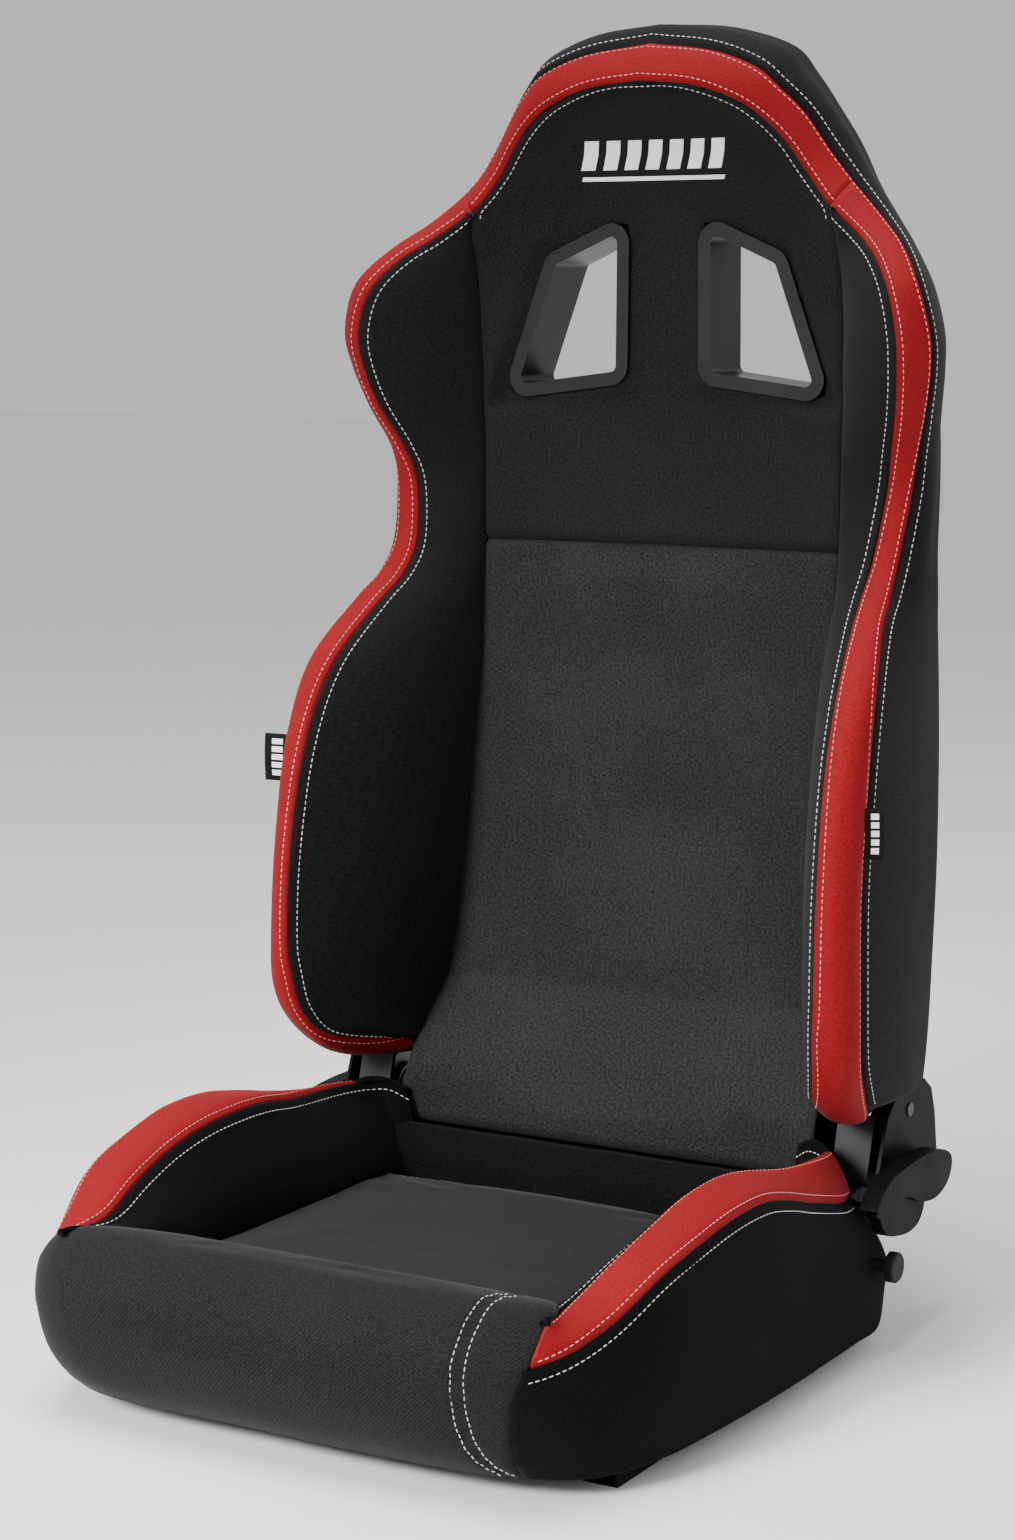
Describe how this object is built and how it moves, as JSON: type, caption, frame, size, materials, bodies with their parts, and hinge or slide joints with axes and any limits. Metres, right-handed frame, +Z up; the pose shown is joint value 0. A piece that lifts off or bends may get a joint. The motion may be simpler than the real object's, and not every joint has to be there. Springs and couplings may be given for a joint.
{
  "type": "racing seat",
  "caption": "Reclining sports seat with a bolstered backrest, harness slots, a tubular frame and side release levers.",
  "frame": {"origin": "under the middle of the seat, on the plane of the mounting rails' undersides", "axes": "+X across the seat to the sitter's left, +Y to the rear, +Z up"},
  "size_m": [0.506, 0.584, 0.942],
  "materials": {
    "red_band": "deep red stretch fabric",
    "knit_centre": "charcoal knit",
    "twill_front": "black twill",
    "black_fabric": "smooth black fabric",
    "rear_fabric": "black fabric over a thin board",
    "tag_fabric": "woven label, blank",
    "bezel_plastic": "satin dark grey",
    "lever_plastic": "satin black",
    "cover_paint": "satin black paint",
    "stud_grey": "grey zinc",
    "zinc_arm": "zinc plated",
    "frame_paint": "black powder coat",
    "zinc_steel": "zinc plated"
  },
  "bodies": {
    "seat_base": {"base_front_tube": "frame_paint", "base_plate_bolts": "zinc_steel", "base_plate_left": "frame_paint", "base_plate_right": "frame_paint", "base_rear_tube": "frame_paint", "cushion_band_left": "red_band", "cushion_band_right": "red_band", "cushion_bolster_left": "black_fabric", "cushion_bolster_right": "black_fabric", "cushion_centre_pad": "knit_centre", "cushion_front_roll": "twill_front", "mounting_rail_left": "frame_paint", "mounting_rail_right": "frame_paint", "pivot_shaft": "zinc_steel", "recliner_disc_left": "zinc_steel", "recliner_disc_right": "zinc_steel", "return_spring_left": "zinc_steel", "return_spring_right": "zinc_steel", "seat_springs": "zinc_steel", "side_stud_left": "stud_grey", "side_stud_right": "stud_grey", "weld_nuts": "zinc_steel"},
    "backrest": {"arm_bolts": "zinc_steel", "arm_disc_left": "zinc_steel", "arm_disc_right": "zinc_steel", "arm_spacers": "frame_paint", "back_arm_left": "zinc_arm", "back_arm_right": "zinc_arm", "back_band_head": "red_band", "back_band_left": "red_band", "back_band_right": "red_band", "back_bolster_left": "black_fabric", "back_bolster_right": "black_fabric", "back_frame_hoop": "frame_paint", "back_head_roll": "black_fabric", "back_lower_tube": "frame_paint", "back_lumbar_pad": "knit_centre", "back_rear_panel": "rear_fabric", "back_shoulder_pad": "knit_centre", "back_side_cover": "rear_fabric", "back_spring_clips": "frame_paint", "back_springs": "zinc_steel", "back_upper_tube": "frame_paint", "cover_screw_left": "zinc_steel", "cover_screw_right": "zinc_steel", "harness_bezel_front_left": "bezel_plastic", "harness_bezel_front_right": "bezel_plastic", "harness_bezel_rear_left": "bezel_plastic", "harness_bezel_rear_right": "bezel_plastic", "recliner_cover_left": "cover_paint", "recliner_cover_right": "cover_paint", "side_tag_left": "tag_fabric", "side_tag_right": "tag_fabric"},
    "release_levers": {"release_lever_left": "lever_plastic", "release_lever_right": "lever_plastic", "release_shaft": "zinc_steel", "release_washers": "zinc_steel"}
  },
  "joints": [
    {"name": "recline", "type": "hinge", "parent": "seat_base", "child": "backrest", "pos_m": [0, 0.195, 0.122], "axis": [-1, 0, 0], "range_deg": [0, 60]},
    {"name": "release", "type": "hinge", "parent": "seat_base", "child": "release_levers", "pos_m": [0, 0.133, 0.098], "axis": [1, 0, 0], "range_deg": [0, 20], "stiffness_Nm_per_rad": 1.5, "springref_deg": -17.19}
  ]
}
